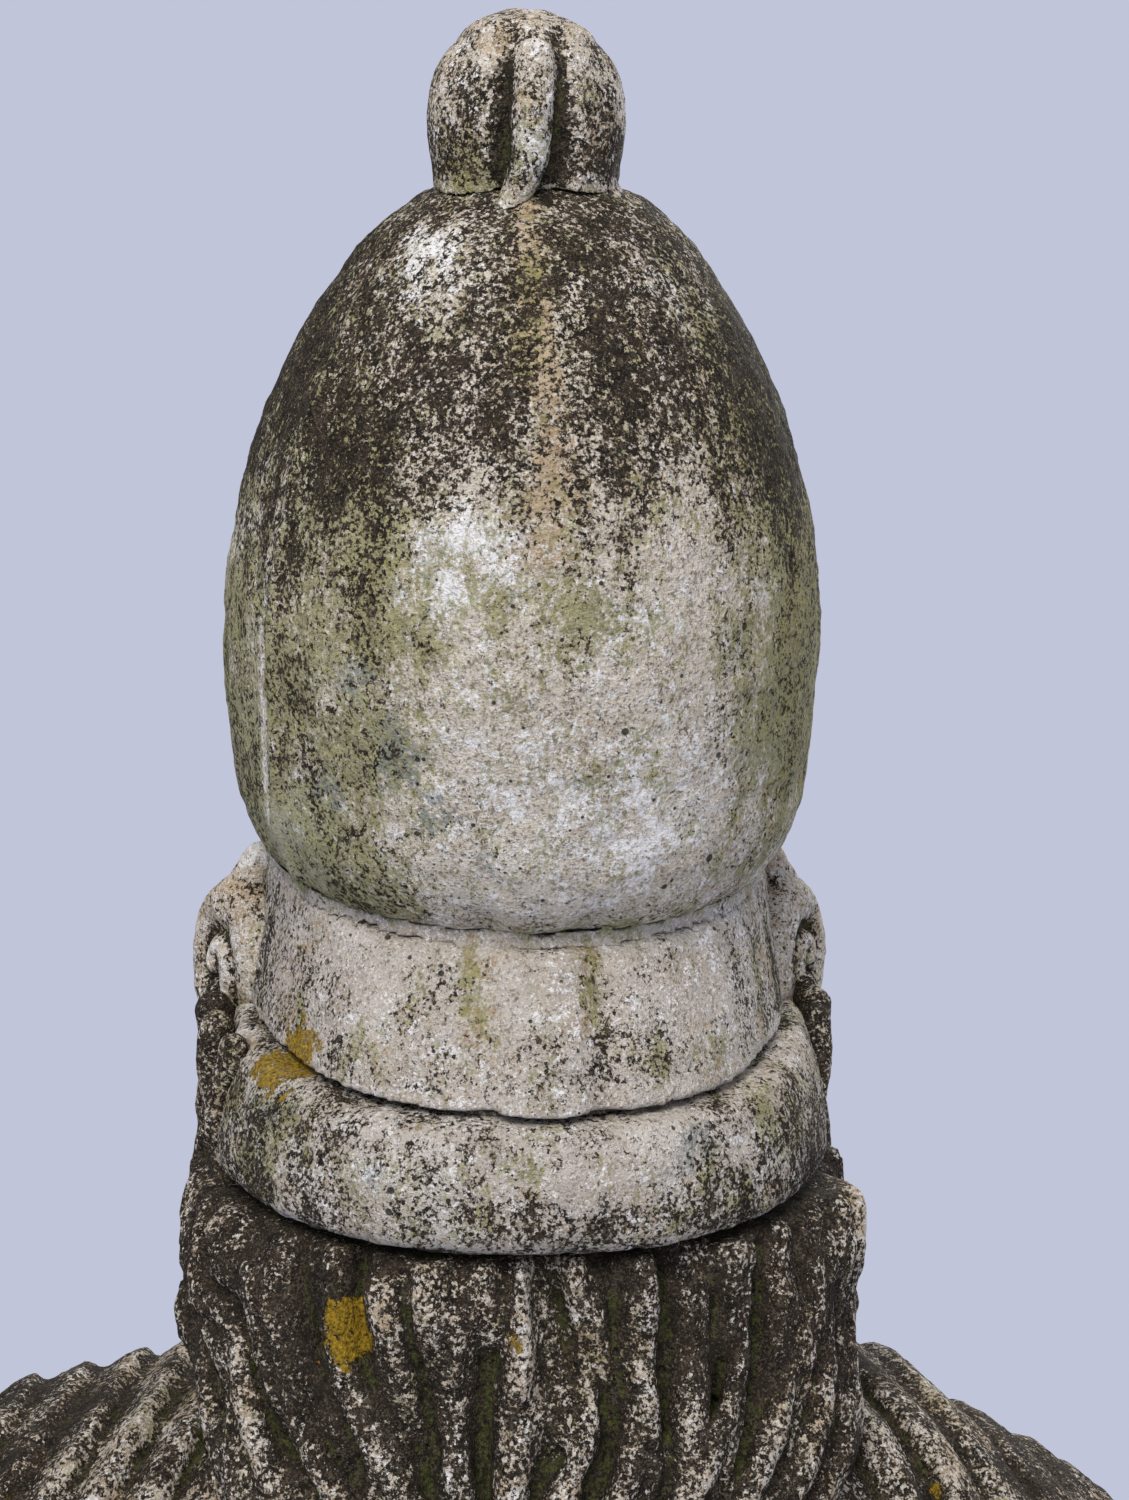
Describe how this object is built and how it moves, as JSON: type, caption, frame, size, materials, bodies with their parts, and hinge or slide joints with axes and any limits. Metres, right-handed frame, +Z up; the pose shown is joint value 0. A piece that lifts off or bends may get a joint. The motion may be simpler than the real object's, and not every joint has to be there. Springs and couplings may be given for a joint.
{
  "type": "garden bust",
  "caption": "Weathered cast-stone bust of a helmeted classical figure with long waved hair, built in pinned sections on a turned socle and a square plinth.",
  "frame": {"origin": "middle of the plinth's underside, on the ground", "axes": "+Z up; the face looks along -Y; +X is the figure's left"},
  "size_m": [0.5172, 0.293, 0.9046],
  "materials": {
    "plinth_stone": "weathered cast stone, chipped arrises and green algae low down",
    "socle_stone": "weathered cast stone, rain-washed with dirt under the mouldings",
    "drapery_stone": "weathered cast stone, dark grime with pale flecks and yellow lichen",
    "face_stone": "weathered cast stone, sheltered and paler",
    "hair_stone": "weathered cast stone, dark green moss in the grooves and pale ridges",
    "guard_stone": "weathered cast stone, pitted, with olive algae and rusty streaks",
    "rim_stone": "weathered cast stone, mossy below, with grey and yellow lichen spots",
    "scroll_stone": "weathered cast stone, dark in the hollows",
    "helmet_stone": "weathered cast stone, black speckle above, pale below, small round pits",
    "crest_stone": "weathered cast stone, black speckle with an ochre run-off stain",
    "mortar": "lime mortar, recessed, dirty and mossy",
    "stainless": "plain stainless bar",
    "lead": "dull lead sheet"
  },
  "bodies": {
    "root": {"plinth_slab": "plinth_stone", "plinth_bed": "mortar", "plinth_pin_left": "stainless", "plinth_pin_right": "stainless", "socle": "socle_stone", "socle_bed": "mortar", "lead_shim_1": "lead", "lead_shim_2": "lead", "lead_shim_3": "lead", "tie_rod": "stainless", "tie_washer": "stainless", "tie_nut": "stainless", "shoulders": "drapery_stone", "neck_bed": "mortar", "neck_dowel": "stainless", "head": "face_stone", "head_dowel": "stainless", "hair_fall": "hair_stone", "neck_guard": "guard_stone", "guard_bed": "mortar", "rim_band": "rim_stone", "rim_bed": "mortar", "horn_scroll_left": "scroll_stone", "horn_scroll_right": "scroll_stone", "scroll_pin_left": "stainless", "scroll_pin_right": "stainless", "stack_pin_left": "stainless", "stack_pin_right": "stainless", "helmet_dome": "helmet_stone", "dome_bed": "mortar", "crest_lion": "crest_stone", "crest_bed": "mortar", "crest_pin": "stainless"}
  },
  "joints": []
}
